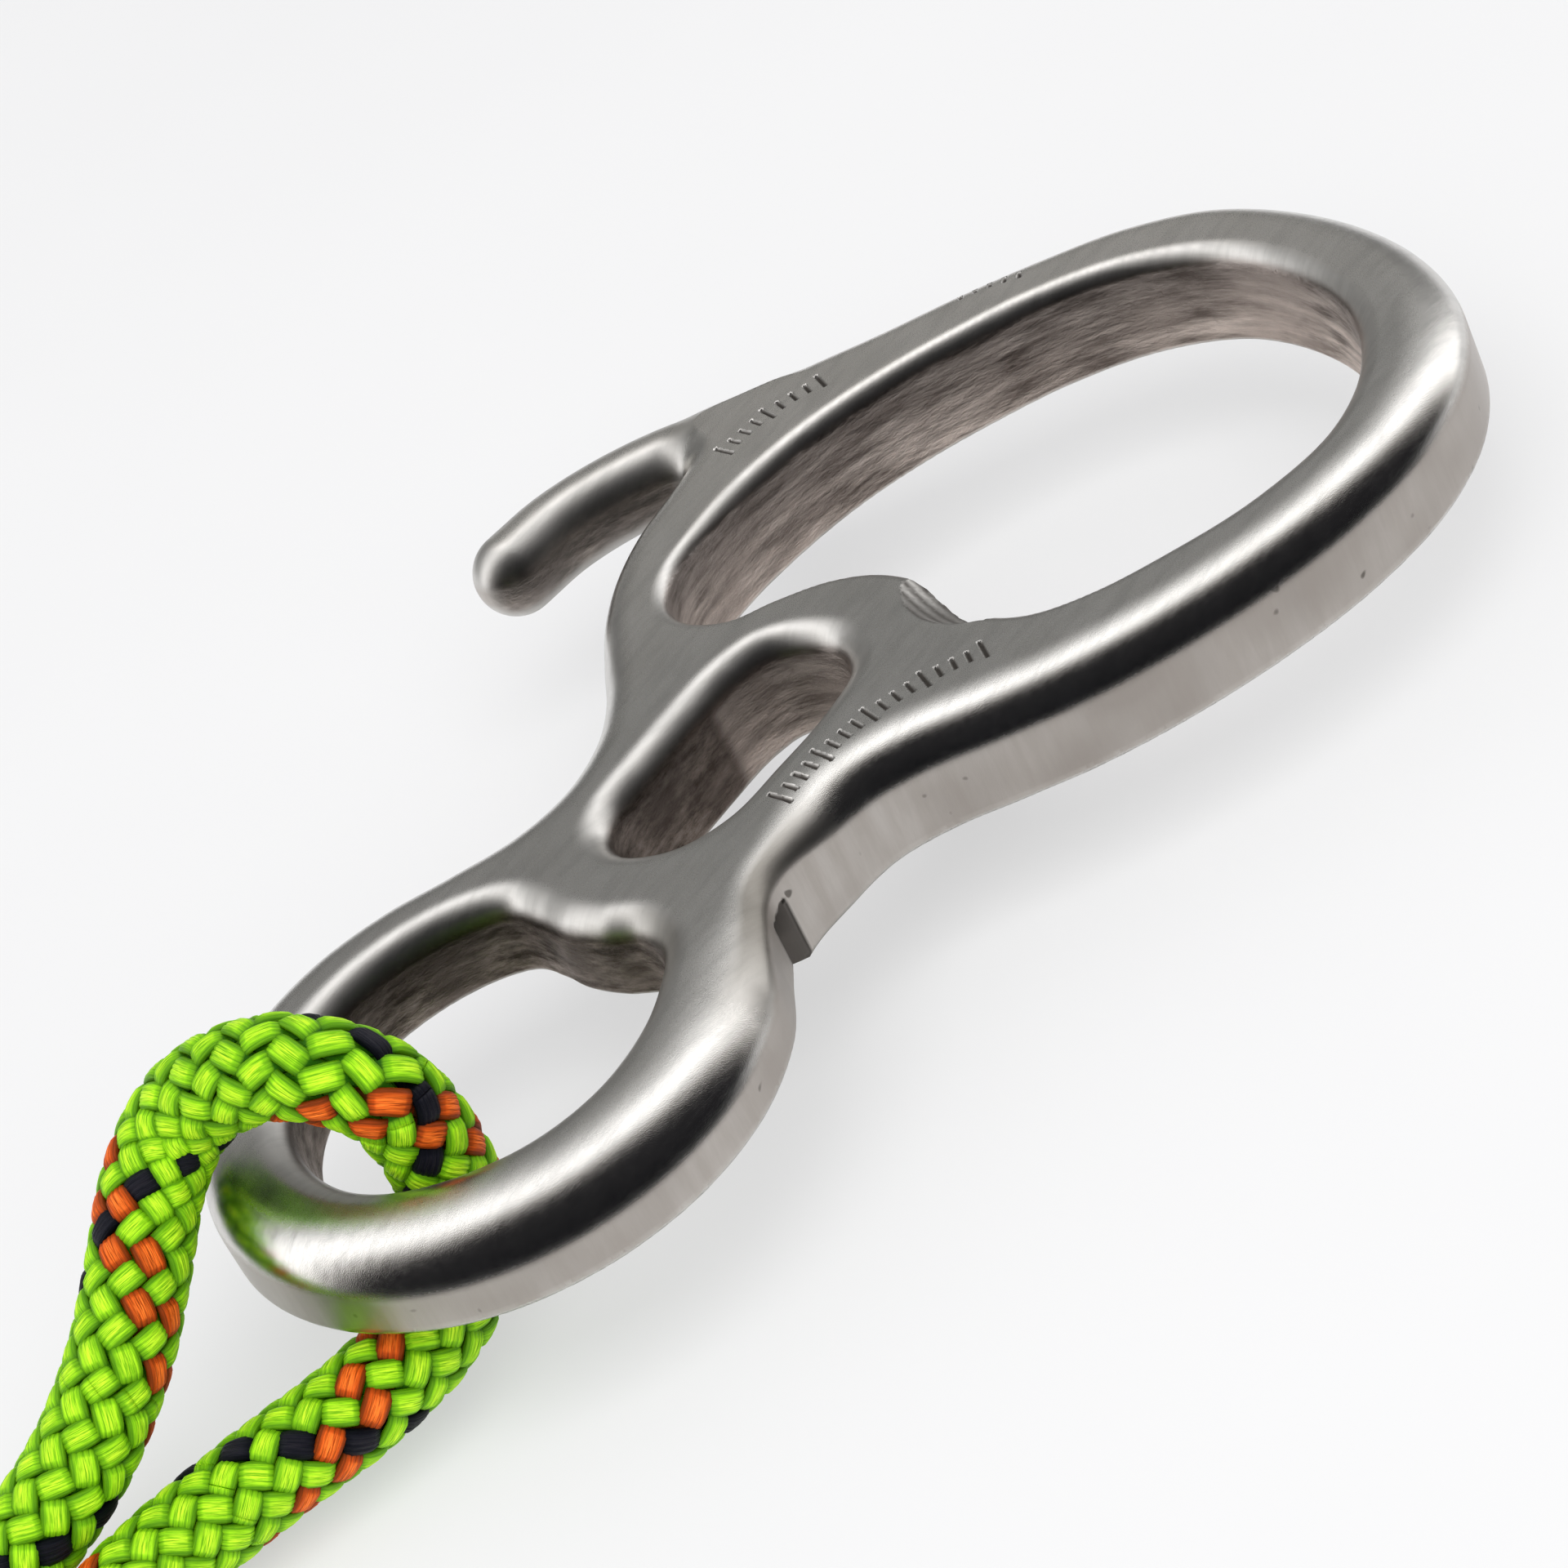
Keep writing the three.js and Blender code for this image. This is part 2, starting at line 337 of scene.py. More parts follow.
class Body:
    """The metal body's distance field in millimetres, negative inside."""

    WALLS = (
        (OUTER_EDGE, True, HORN_SIDE_ROUND, 0.0),
        (EYE_HOLE, False, EYE_ROUND, 0.0),
        (SLOT, False, SLOT_ROUND, SLOT_DRAFT),
        (BIG_HOLE, False, RING_ROUND, RING_DRAFT),
    )

    def __init__(self, low, high, spacing):
        self.map = Map(low[:2], high[:2], spacing)
        self.walls = []
        for knots, inside_is_metal, _, _ in self.WALLS:
            table, facing = loop_distance(self.map.points, knots, inside_is_metal)
            self.walls.append(table.reshape(self.map.shape))
            if inside_is_metal:
                self.free_side = step_up(facing, -0.3, 0.6).reshape(self.map.shape)
        horn = even_points(smooth_curve(HORN_LINE, closed=False), 0.8)
        self.horn = line_distance_squared(self.map.points, horn).reshape(self.map.shape)

    def plate(self, walls, x, z, free_side, floor_z):
        along = step_up(x, 15, 45)
        free_round = EYE_SIDE_ROUND + (FREE_SIDE_ROUND - EYE_SIDE_ROUND) * along
        free_reach = EYE_SIDE_REACH + (FREE_SIDE_REACH - EYE_SIDE_REACH) * along
        neck = step_up(x, 12, 26) * step_up(x, 44, 31)
        free_round = free_round + (NECK_ROUND - free_round) * neck
        free_reach = free_reach + (NECK_REACH - free_reach) * neck
        field = None
        for wall, (knots, is_outer, top_round, draft) in zip(walls, self.WALLS):
            reach = top_round
            if is_outer:
                reach = top_round + (free_reach - top_round) * free_side
                top_round = top_round + (free_round - top_round) * free_side
            if knots is BIG_HOLE:
                pocket = step_up(x, RING_X, POCKET_X)
                top_round = top_round + (POCKET_ROUND - top_round) * pocket
                reach = top_round
            leaning = wall - draft * (PLATE_THICK - z)
            top = rounded_edge(leaning, z - PLATE_THICK, top_round, reach)
            bottom = rounded_edge(leaning, floor_z - z, BOTTOM_ROUND, BOTTOM_ROUND)
            edge = np.maximum(top, bottom)
            field = edge if field is None else np.maximum(field, edge)
        return field

    def field(self, x, y, z, walls, free_side, horn_squared):
        """The distance at points whose flat distances are already known."""
        thin = self.plate(walls, x, z, free_side, EYE_RELIEF)
        full = np.maximum(self.plate(walls, x, z, free_side, 0.0), EYE_RELIEF_END_X - x)
        plate = np.minimum(thin, full)
        horn = np.sqrt(np.maximum(horn_squared, 0) + (z - HORN_CENTRE_Z) ** 2) - HORN_R
        joined = smooth_join(plate, horn, HORN_FILLET)
        joined = np.maximum(joined, np.maximum(z - PLATE_THICK, -z))
        cx, cy, cz = SCOOP_CENTRE
        scoop = np.sqrt((x - cx) ** 2 + (y - cy) ** 2 + (z - cz) ** 2) - SCOOP_R
        return np.maximum(joined, -np.minimum(self.notch(x, y, z), scoop))

    def notch(self, x, y, z):
        field = z - NOTCH_TOP
        for (ax, ay), (bx, by) in zip(NOTCH, NOTCH[1:] + NOTCH[:1]):
            size = math.hypot(bx - ax, by - ay)
            side = ((x - ax) * (by - ay) - (y - ay) * (bx - ax)) / size
            field = np.maximum(field, side)
        return field

    def on_grid(self, heights):
        """The field on the whole grid, one layer for each height."""
        x = self.map.points[:, 0].reshape(self.map.shape)[:, :, None]
        y = self.map.points[:, 1].reshape(self.map.shape)[:, :, None]
        walls = [wall[:, :, None] for wall in self.walls]
        z = heights[None, None, :]
        return self.field(x, y, z, walls, self.free_side[:, :, None], self.horn[:, :, None])

    def flat_distances(self, x, y):
        return [self.map.read(wall, x, y) for wall in self.walls]

    def at(self, p):
        x, y, z = p.T
        free_side = self.map.read(self.free_side, x, y)
        horn = self.map.read(self.horn, x, y)
        return self.field(x, y, z, self.flat_distances(x, y), free_side, horn)

    def slope(self, p, reach=0.15):
        parts = []
        for axis in np.eye(3) * reach:
            parts.append((self.at(p + axis) - self.at(p - axis)) / (2 * reach))
        return np.stack(parts, axis=1)


def surface_net(field, low, spacing):
    """Vertices and quads round the zero level of a grid of distances."""
    inside = field < 0
    cells = tuple(n - 1 for n in field.shape)
    total = np.zeros(cells + (3,))
    count = np.zeros(cells)
    corners = [(i, j, k) for i in (0, 1) for j in (0, 1) for k in (0, 1)]
    window = {c: tuple(slice(c[i], c[i] + cells[i]) for i in range(3)) for c in corners}
    for start in corners:
        for axis in range(3):
            if start[axis]:
                continue
            end = tuple(v + (i == axis) for i, v in enumerate(start))
            a, b = field[window[start]], field[window[end]]
            crossed = inside[window[start]] != inside[window[end]]
            t = np.where(crossed, a / np.where(crossed, a - b, 1), 0)
            for i in range(3):
                total[..., i] += crossed * (start[i] + (t if i == axis else 0))
            count += crossed
    used = count > 0
    number = np.full(cells, -1)
    number[used] = np.arange(used.sum())
    vertices = low + spacing * (np.argwhere(used) + total[used] / count[used][:, None])
    quads = []
    for axis in range(3):
        u, v = (axis + 1) % 3, (axis + 2) % 3
        shifted = [slice(None)] * 3
        shifted[axis] = slice(1, None)
        first = inside[tuple(slice(None, -1) if i == axis else slice(None) for i in range(3))]
        second = inside[tuple(shifted)]
        for flip, changed in ((False, first & ~second), (True, ~first & second)):
            at = np.argwhere(changed)
            corner = []
            for du, dv in ((1, 1), (0, 1), (0, 0), (1, 0)):
                cell = at.copy()
                cell[:, u] -= du
                cell[:, v] -= dv
                corner.append(number[tuple(cell.T)])
            if flip:
                corner.reverse()
            quads.append(np.stack(corner, axis=1))
    return vertices, np.vstack(quads)


def new_mesh(name, vertices, faces):
    """A smooth mesh object from millimetre vertices and a list of faces."""
    mesh = bpy.data.meshes.new(name)
    mesh.from_pydata(((vertices - REST_POINT) * MM).tolist(), [], faces)
    mesh.shade_smooth()
    obj = bpy.data.objects.new(name, mesh)
    bpy.context.scene.collection.objects.link(obj)
    return obj


def add_attribute(obj, name, kind, values):
    attribute = obj.data.attributes.new(name, kind, "POINT")
    field = "color" if kind == "FLOAT_COLOR" else "value"
    attribute.data.foreach_set(field, np.asarray(values, np.float32).ravel())


def step_up(value, low, high):
    t = np.clip((value - low) / (high - low), 0, 1)
    return t * t * (3 - 2 * t)


def tick_places():
    """Centre, direction along the row, direction along the bar and length of each tick bar."""
    for row, count, short, long in TICK_ROWS:
        line = smooth_curve(row, closed=False)
        run = lengths_along(line)
        for i in range(count):
            place = run[-1] * i / (count - 1)
            reach = np.array([place, min(place + 1, run[-1]), max(place - 1, 0)])
            centre, ahead, back = np.stack([np.interp(reach, run, a) for a in line.T], axis=1)
            along = unit(ahead - back)
            length = short if i % TICK_LONG_EVERY else long
            yield centre, along, np.array([-along[1], along[0]]), length


def tick_depth(xy):
    """How deep the tick bars cut at each point, from 0 to 1."""
    depth = np.zeros(len(xy))
    for centre, along, across, length in tick_places():
        offset = xy - centre
        beside = np.abs(offset @ along) - TICK_WIDTH / 2
        beyond = np.abs(offset @ across) - length / 2
        outside = np.maximum(beside, beyond)
        depth = np.maximum(depth, 1 - step_up(outside, -TICK_SLOPE, TICK_SLOPE))
    return depth


def settle(body, points):
    """Moves points onto the body's surface, in place."""
    for _ in range(4):
        slope = body.slope(points)
        size = np.maximum((slope**2).sum(1), 0.2)
        points -= (body.at(points) / size)[:, None] * slope


def cut_ticks(obj, body):
    """Refines the mesh round the tick bars and presses the bars into it."""
    mesh = bmesh.new()
    mesh.from_mesh(obj.data)
    for _ in range(2):
        points = np.array([v.co for v in mesh.verts]) / MM + REST_POINT
        near = np.zeros(len(points), bool)
        for centre, _, _, length in tick_places():
            near |= np.hypot(*(points[:, :2] - centre).T) < length / 2 + 1.0
        near &= points[:, 2] > PLATE_THICK - TICK_SKIN
        mesh.verts.index_update()
        edges = [e for e in mesh.edges if near[e.verts[0].index] and near[e.verts[1].index]]
        bmesh.ops.subdivide_edges(mesh, edges=edges, cuts=1, use_grid_fill=True)
    points = np.array([v.co for v in mesh.verts]) / MM + REST_POINT
    settle(body, points)
    depth = tick_depth(points[:, :2]) * (points[:, 2] > PLATE_THICK - TICK_SKIN)
    points[:, 2] -= depth * TICK_DEPTH
    for vertex, point in zip(mesh.verts, (points - REST_POINT) * MM):
        vertex.co = point
    mesh.to_mesh(obj.data)
    mesh.free()
    return depth


# Shares of lean, from 0 on a flat to 1 on a wall, between which each look sets in.
CAST_LEAN = (0.28, 0.66)
WALL_LEAN = (0.62, 0.86)
FLAT_FACING = (0.90, 0.999)
HORN_START_Y = (45, 48)
HORN_UNDERSIDE = (-0.1, 0.5)
HORN_CAST_SHARE = 0.8
HOLE_BLEND = 1.5
SCOOP_EDGE = (0.25, 0.05)
SCOOP_STAIN = (0.25, 0.6)
NOTCH_EDGE = (0.5, 0.15)
# How dark the notch's end face is painted, as painted shade.
NOTCH_PAINTED_SHADE = 0.8


def surface_values(body, points, normals, cut):
    """The values at the body's vertices that its material reads."""
    walls = body.flat_distances(points[:, 0], points[:, 1])
    lean = 1 - np.abs(normals[:, 2])
    upright = step_up(lean, *WALL_LEAN)
    on_horn = step_up(points[:, 1], *HORN_START_Y)
    to_hole = np.max(walls[1:], axis=0) - walls[0]
    in_hole = step_up(to_hole, -HOLE_BLEND, HOLE_BLEND) * (1 - on_horn)
    in_hole += HORN_CAST_SHARE * on_horn * step_up(-normals[:, 1], *HORN_UNDERSIDE)
    in_ring = step_up(walls[3] - walls[0], -HOLE_BLEND, HOLE_BLEND) * (1 - on_horn)
    flat = step_up(normals[:, 2], *FLAT_FACING)
    from_scoop = np.linalg.norm(points - SCOOP_CENTRE, axis=1) - SCOOP_R
    bands = 0.5 + 0.5 * np.sin(points[:, :2] @ SCOOP_BANDS)
    scooped = step_up(from_scoop, *SCOOP_EDGE) * (SCOOP_STAIN[0] + SCOOP_STAIN[1] * bands)
    # Painted shade: the notch's end face is darkened like a mark, standing for the shade inside
    # the notch.
    in_notch = step_up(np.abs(body.notch(*points.T)), *NOTCH_EDGE) * (normals[:, 2] < 0.5)
    marks_and_notch_shade = np.maximum(np.maximum(cut, scooped), NOTCH_PAINTED_SHADE * in_notch)
    from_neck = np.hypot(*(points[:, :2] - NECK_CENTRE).T)
    return {
        "upright": upright,
        "hole_wall": step_up(lean, *CAST_LEAN) * in_hole,
        "ring_wall": in_ring,
        "flank": upright * (1 - in_hole),
        "flat_top": flat,
        "marks_and_notch_shade": marks_and_notch_shade,
        "hole_edge": in_hole,
        "horn": on_horn,
        # Neck patch mask: a rougher filed finish, and painted shade that darkens its colour.
        "neck": step_up(from_neck, NECK_SPREAD, 1) * (1 - flat),
    }


def make_body():
    low = np.array([-34.3, -54.4, -1.9])
    high = np.array([150.6, 69.3, 14.6])
    body = Body(low, high, NET_SPACING)
    heights = np.arange(low[2], high[2], NET_SPACING)
    vertices, quads = surface_net(body.on_grid(heights), low, NET_SPACING)
    settle(body, vertices)
    obj = new_mesh("descender_metal", vertices, quads.tolist())
    cut = cut_ticks(obj, body)
    points = np.array([v.co for v in obj.data.vertices]) / MM + REST_POINT
    pressed = np.array([n.vector for n in obj.data.vertex_normals])
    normals = np.where(cut[:, None] > 0, pressed, unit(body.slope(points, 0.05)))
    obj.data.normals_split_custom_set_from_vertices(normals.tolist())
    for name, values in surface_values(body, points, normals, cut).items():
        add_attribute(obj, name, "FLOAT", values)
    obj.data.materials.append(steel_material())
    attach(obj, "descender")
    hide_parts("descender_body")


# ---- the rope ----


class Rope:
    """The rope's middle line, with a side and a top direction that don't twist along it."""

    def __init__(self):
        self.line = even_points(smooth_curve(ROPE_LINE, closed=False), 0.2)
        self.run = lengths_along(self.line)
        self.length = self.run[-1]
        self.ahead = unit(np.gradient(self.line, axis=0))
        side = np.cross(self.ahead[0], [0.0, 0.0, 1.0])
        sides = []
        for ahead in self.ahead:
            side = unit(side - (side @ ahead) * ahead)
            sides.append(side)
        self.side = np.array(sides)
        self.top = np.cross(self.ahead, self.side)

    def read(self, table, places):
        return np.stack([np.interp(places, self.run, axis) for axis in table.T], axis=1)

    def at(self, places, angle, radius):
        """Points at an angle and a radius round the middle line, and the outward directions."""
        side = unit(self.read(self.side, places))
        top = unit(self.read(self.top, places))
        out = side * np.cos(angle)[:, None] + top * np.sin(angle)[:, None]
        beyond = places - np.clip(places, 0, self.length)
        middle = self.read(self.line, places) + beyond[:, None] * self.read(self.ahead, places)
        return middle + out * np.asarray(radius)[:, None], out

    def point(self, share):
        return self.read(self.line, np.array([share * self.length]))[0]


def strand_section():
    """Across and outward shares of a strand's section: ridged yarns on top, plain underneath."""
    over = np.linspace(-1, 1, 4 * YARNS + 1)
    crown = np.maximum(1 - np.abs(over) ** CROWN_SQUARENESS, 0) ** CROWN_FULLNESS
    ridge = YARN_RIDGE / STRAND_HALF_THICK * (np.abs(np.sin(over * YARNS * math.pi / 2)) - 0.5)
    crown = crown + ridge * (1 - np.abs(over) ** 4)
    under = np.array([0.6, 0.0, -0.6])
    across = np.concatenate([over, under])
    outward = np.concatenate([crown, [-0.8, -1.0, -0.8]])
    return across, outward


def strand_mesh(rope, turn, index, start, end):
    """One flattened strand of the sheath between two distances along the rope."""
    places = np.linspace(start, end, max(2, round((end - start) / RING_STEP)) + 1)
    first = 2 * math.pi * index / STRANDS_EACH_WAY
    angle = first + turn * 2 * math.pi * places / BRAID_LEAD
    wave = turn * np.cos(math.pi * places / CROSSING)
    lift = np.tanh(DIVE * wave) / math.tanh(DIVE)
    middle, out = rope.at(places, angle, BRAID_R + STRAND_LIFT * lift)
    ahead = unit(np.gradient(middle, axis=0))
    out = unit(out - (out * ahead).sum(1, keepdims=True) * ahead)
    beside = np.cross(ahead, out)
    across, outward = strand_section()
    width = STRAND_HALF_WIDTH * (0.96 + 0.04 * lift)
    thick = STRAND_HALF_THICK * (1.0 + 0.2 * lift)
    rings = (
        middle[:, None]
        + beside[:, None] * (across[None, :, None] * width[:, None, None])
        + out[:, None] * (outward[None, :, None] * thick[:, None, None])
    )
    rows, columns = rings.shape[:2]
    values = {
        "dye": np.tile((*strand_colour(turn, index), 1.0), (rows * columns, 1)),
        "lift": np.repeat(lift, columns),
        "across": np.tile(across, rows),
        "along": np.repeat(places / math.cos(BRAID_ANGLE), columns),
        "seed": np.full(rows * columns, index * 3.7 + (turn > 0) * 41.3),
        "fused": np.zeros(rows * columns),
    }
    return rings, values


def round_mesh(rope, places, radii, colour, fused):
    """A closed round form about the rope's middle line, with a radius at each place."""
    angle = np.tile(np.linspace(0, 2 * math.pi, ROUND_SIDES, endpoint=False), len(places))
    place = np.repeat(places, ROUND_SIDES)
    uneven = 1 + fused * 0.02 * (np.sin(3 * angle + place) + np.sin(5 * angle - 2 * place))
    points = rope.at(place, angle, np.repeat(radii, ROUND_SIDES) * uneven)[0]
    count = len(points)
    values = {
        "dye": np.tile((*colour, 1.0), (count, 1)),
        "lift": np.full(count, -1.0),
        "across": np.zeros(count),
        "along": place,
        "seed": angle,
        "fused": np.full(count, fused),
    }
    return points.reshape(len(places), ROUND_SIDES, 3), values


def fused_end(rope, end, outward):
    """The heat-fused end that closes a cut rope: a low, slightly uneven dome."""
    offsets, radii = np.array(FUSED_RINGS).T
    return round_mesh(rope, end + outward * offsets, radii, DARK, 1.0)


def strand_colour(turn, index):
    if turn < 0 and index in ORANGE_STRANDS:
        return ORANGE
    if turn > 0 and index == DARK_STRAND:
        return DARK
    return GREEN


def sheath_piece(rope, name, start, end, material):
    """The sheath between two distances: closed strands over a liner that fills the gaps, painted
    in the dye's dark shade.
    """
    liner_places = np.arange(start, end, 1.0)
    # The liner shows only in the gaps; its low lift makes the material paint it in painted shade.
    parts = [round_mesh(rope, liner_places, np.full(len(liner_places), LINER_R), GREEN, 0.0)]
    for turn in (1, -1):
        for index in range(STRANDS_EACH_WAY):
            parts.append(strand_mesh(rope, turn, index, start, end))
    if start == 0:
        parts.append(fused_end(rope, 0.0, -1))
    if end > rope.length - 1:
        parts.append(fused_end(rope, end, 1))
    faces = []
    count = 0
    for rings, _ in parts:
        rows, columns = rings.shape[:2]
        grid = count + np.arange(rows * columns).reshape(rows, columns)
        beside = np.roll(grid, -1, axis=1)
        quads = np.stack([grid[:-1], beside[:-1], beside[1:], grid[1:]], axis=-1)
        faces.extend(quads.reshape(-1, 4).tolist())
        faces.extend([grid[0][::-1].tolist(), grid[-1].tolist()])
        count += rows * columns
    obj = new_mesh(name, np.vstack([rings.reshape(-1, 3) for rings, _ in parts]), faces)
    for field in ("dye", "lift", "across", "along", "seed", "fused"):
        kind = "FLOAT_COLOR" if field == "dye" else "FLOAT"
        add_attribute(obj, field, kind, np.concatenate([values[field] for _, values in parts]))
    obj.data.materials.append(material)
    return obj


def make_rope():
    """Four sheath pieces, each crossing one joint, cut half-way between joints."""
    rope = Rope()
    material = sheath_material()
    shares = [0.0]
    for (_, _, a), (_, _, b) in zip(ROPE_JOINTS, ROPE_JOINTS[1:]):
        shares.append((a + b) / 2)
    shares.append(1.0)
    cuts = [RING_STEP * round(share * rope.length / RING_STEP) for share in shares]
    for i, (first, second, share) in enumerate(ROPE_JOINTS):
        name = f"braided_sheath_{i + 1}"
        obj = sheath_piece(rope, name, cuts[i], cuts[i + 1], material)
        stands_for = [f"{first}_sheath", f"{second}_sheath"]
        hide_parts(*stands_for)
        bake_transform(obj)
    core = core_material()
    for name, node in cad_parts.items():
        if "core_strand" in name:
            node.data.materials.clear()
            node.data.materials.append(core)


# ---- materials ----


class Nodes:
    """A new node material, with short ways to add and link its nodes."""

    def __init__(self, name):
        self.material = bpy.data.materials.new(name)
        self.material.use_nodes = True
        self.tree = self.material.node_tree
        self.shader = self.tree.nodes["Principled BSDF"]

    def add(self, kind, inputs=None, **settings):
        node = self.tree.nodes.new(kind)
        for key, value in settings.items():
            setattr(node, key, value)
        for key, value in (inputs or {}).items():
            self.put(node.inputs[key], value)
        return node

    def put(self, socket, value):
        if isinstance(value, bpy.types.NodeSocket):
            self.tree.links.new(value, socket)
        else:
            socket.default_value = value

    def set(self, **values):
        for key, value in values.items():
            self.put(self.shader.inputs[key.replace("_", " ")], value)

    def attribute(self, name, output="Fac"):
        return self.add("ShaderNodeAttribute", attribute_name=name).outputs[output]

    def scaled_place(self, x, y, z):
        place = self.add("ShaderNodeTexCoord").outputs["Object"]
        mapping = self.add("ShaderNodeMapping", {"Vector": place, "Scale": (x, y, z)})
        return mapping.outputs["Vector"]

    def noise(self, vector, scale=1.0, detail=3.0, roughness=0.55):
        inputs = {"Vector": vector, "Scale": scale, "Detail": detail, "Roughness": roughness}
        return self.add("ShaderNodeTexNoise", inputs).outputs["Fac"]

    def ramp(self, value, low, high, out_low=0.0, out_high=1.0):
        inputs = {0: value, 1: low, 2: high, 3: out_low, 4: out_high}
        return self.add("ShaderNodeMapRange", inputs).outputs["Result"]

    def math(self, operation, a, b=0.0):
        node = self.add("ShaderNodeMath", {0: a, 1: b}, operation=operation)
        return node.outputs["Value"]

    def mix(self, share, a, b, blend="MIX"):
        node = self.add("ShaderNodeMix", data_type="RGBA", blend_type=blend)
        for socket, value in ((0, share), (6, a), (7, b)):
            self.put(node.inputs[socket], value)
        return node.outputs[2]

    def mix_values(self, share, a, b):
        node = self.add("ShaderNodeMix", data_type="FLOAT")
        for socket, value in ((0, share), (2, a), (3, b)):
            self.put(node.inputs[socket], value)
        return node.outputs[0]

    def bump(self, height, strength, distance, normal=None):
        inputs = {"Height": height, "Strength": strength, "Distance": distance}
        if normal is not None:
            inputs["Normal"] = normal
        return self.add("ShaderNodeBump", inputs).outputs["Normal"]


# Direction across the part along which the flat tops are painted lighter, a painted reflection of
# a brighter studio further off.
HORN_WARD = (0.6, 0.8, 0.0)
# Painted light on the holes' walls: multipliers that make them lighter at their foot and darker
# at their head.
WALL_FOOT_PAINTED_LIGHT = (1.75, 1.72, 1.70, 1)
WALL_HEAD_PAINTED_SHADE = (0.80, 0.79, 0.79, 1)


def steel_material():
    """Satin flats, polished round edges, streaked cast walls in the holes, with painted light:
    flats lighter towards the horn as a painted reflection, hole walls lighter at the foot and
    darker at the head, the big ring's wall lighter, and painted shade darkening the neck and the
    notch's end face.
    """
    n = Nodes("ground_stainless")
    hole_wall = n.attribute("hole_wall")
    upright = n.attribute("upright")
    flank = n.attribute("flank")
    ring_wall = n.attribute("ring_wall")
    flat_top = n.attribute("flat_top")
    marks_and_notch_shade = n.attribute("marks_and_notch_shade")
    hole_edge = n.attribute("hole_edge")
    horn = n.attribute("horn")
    neck = n.attribute("neck")

    lengthwise = n.noise(n.scaled_place(190, 190, 620), detail=6.0, roughness=0.7)
    blotches = n.noise(n.scaled_place(110, 110, 150), detail=3.0, roughness=0.5)
    rubbed = n.noise(n.scaled_place(420, 420, 60), detail=4.0, roughness=0.6)
    streaks = n.noise(n.scaled_place(70, 70, 560), detail=5.0, roughness=0.65)
    patches = n.noise(n.scaled_place(45, 45, 60), detail=2.0, roughness=0.5)
    pits = n.noise(n.scaled_place(420, 420, 420), detail=0.0)
    grain = n.noise(n.scaled_place(1, 1, 1), scale=9000.0, detail=2.0)
    brushed = n.noise(n.scaled_place(500, 2600, 2600), detail=3.0)

    place = n.add("ShaderNodeTexCoord").outputs["Object"]
    height_above = n.add("ShaderNodeSeparateXYZ", {0: place}).outputs[2]

    cast = n.mix(n.ramp(lengthwise, 0.38, 0.66), (0.07, 0.056, 0.046, 1), (0.32, 0.275, 0.245, 1))
    cast = n.mix(n.ramp(blotches, 0.42, 0.66, 0.0, 0.8), cast, (0.13, 0.108, 0.096, 1))
    # The big ring's wall: streaked and blotched like the cast, and painted lighter than the other
    # hole walls as painted light, since its wide hole lets in more light from the floor.
    ring_wall_lit_colour = n.mix(n.ramp(streaks, 0.38, 0.62), (0.16, 0.135, 0.12, 1), (0.56, 0.50, 0.46, 1))
    ring_wall_lit_colour = n.mix(n.ramp(blotches, 0.4, 0.66, 0.0, 0.7), ring_wall_lit_colour, (0.40, 0.35, 0.32, 1))
    cast = n.mix(ring_wall, cast, ring_wall_lit_colour)
    # Painted light: the hole walls' cast colour is made lighter at the foot and darker at the
    # head.
    shade = n.mix(n.ramp(height_above, 0.002, 0.011), WALL_FOOT_PAINTED_LIGHT, WALL_HEAD_PAINTED_SHADE)
    cast = n.mix(1.0, cast, shade, "MULTIPLY")
    side = n.mix(n.ramp(rubbed, 0.35, 0.7), (0.44, 0.405, 0.373, 1), (0.545, 0.512, 0.48, 1))
    side = n.mix(n.ramp(patches, 0.40, 0.62, 0.0, 0.75), side, (0.34, 0.305, 0.277, 1))
    side = n.mix(n.ramp(pits, 0.80, 0.84), side, (0.16, 0.145, 0.13, 1))
    ground = n.mix(n.ramp(blotches, 0.3, 0.7), (0.60, 0.585, 0.558, 1), (0.66, 0.645, 0.62, 1))
    beyond = n.add("ShaderNodeVectorMath", {0: place, 1: HORN_WARD}, operation="DOT_PRODUCT")
    worn = n.noise(n.scaled_place(120, 640, 80), detail=5.0, roughness=0.65)
    ground = n.mix(n.ramp(worn, 0.45, 0.62, 0.0, 0.5), ground, (0.50, 0.49, 0.47, 1))
    # Painted reflection: the flat tops get lighter towards the horn, as if they reflected a
    # brighter part of the studio.
    reflection_lit_ground = n.mix(1.0, ground, (1.38, 1.36, 1.34, 1), "MULTIPLY")
    far_reflection_share = n.math("MULTIPLY", n.ramp(beyond.outputs["Value"], 0.012, 0.062), flat_top)
    ground = n.mix(far_reflection_share, ground, reflection_lit_ground)
    # Painted shade: the neck's patch is darkened to dim its highlight; its rougher finish is set
    # in the roughness below.
    ground = n.mix(neck, ground, n.mix(1.0, ground, (0.50, 0.48, 0.45, 1), "MULTIPLY"))
    colour = n.mix(flank, ground, side)
    colour = n.mix(hole_wall, colour, cast)
    # Dark colour for the cut tick bars and the scoop's grinding bands, and painted shade on the
    # notch's end face.
    colour = n.mix(marks_and_notch_shade, colour, (0.09, 0.08, 0.072, 1))

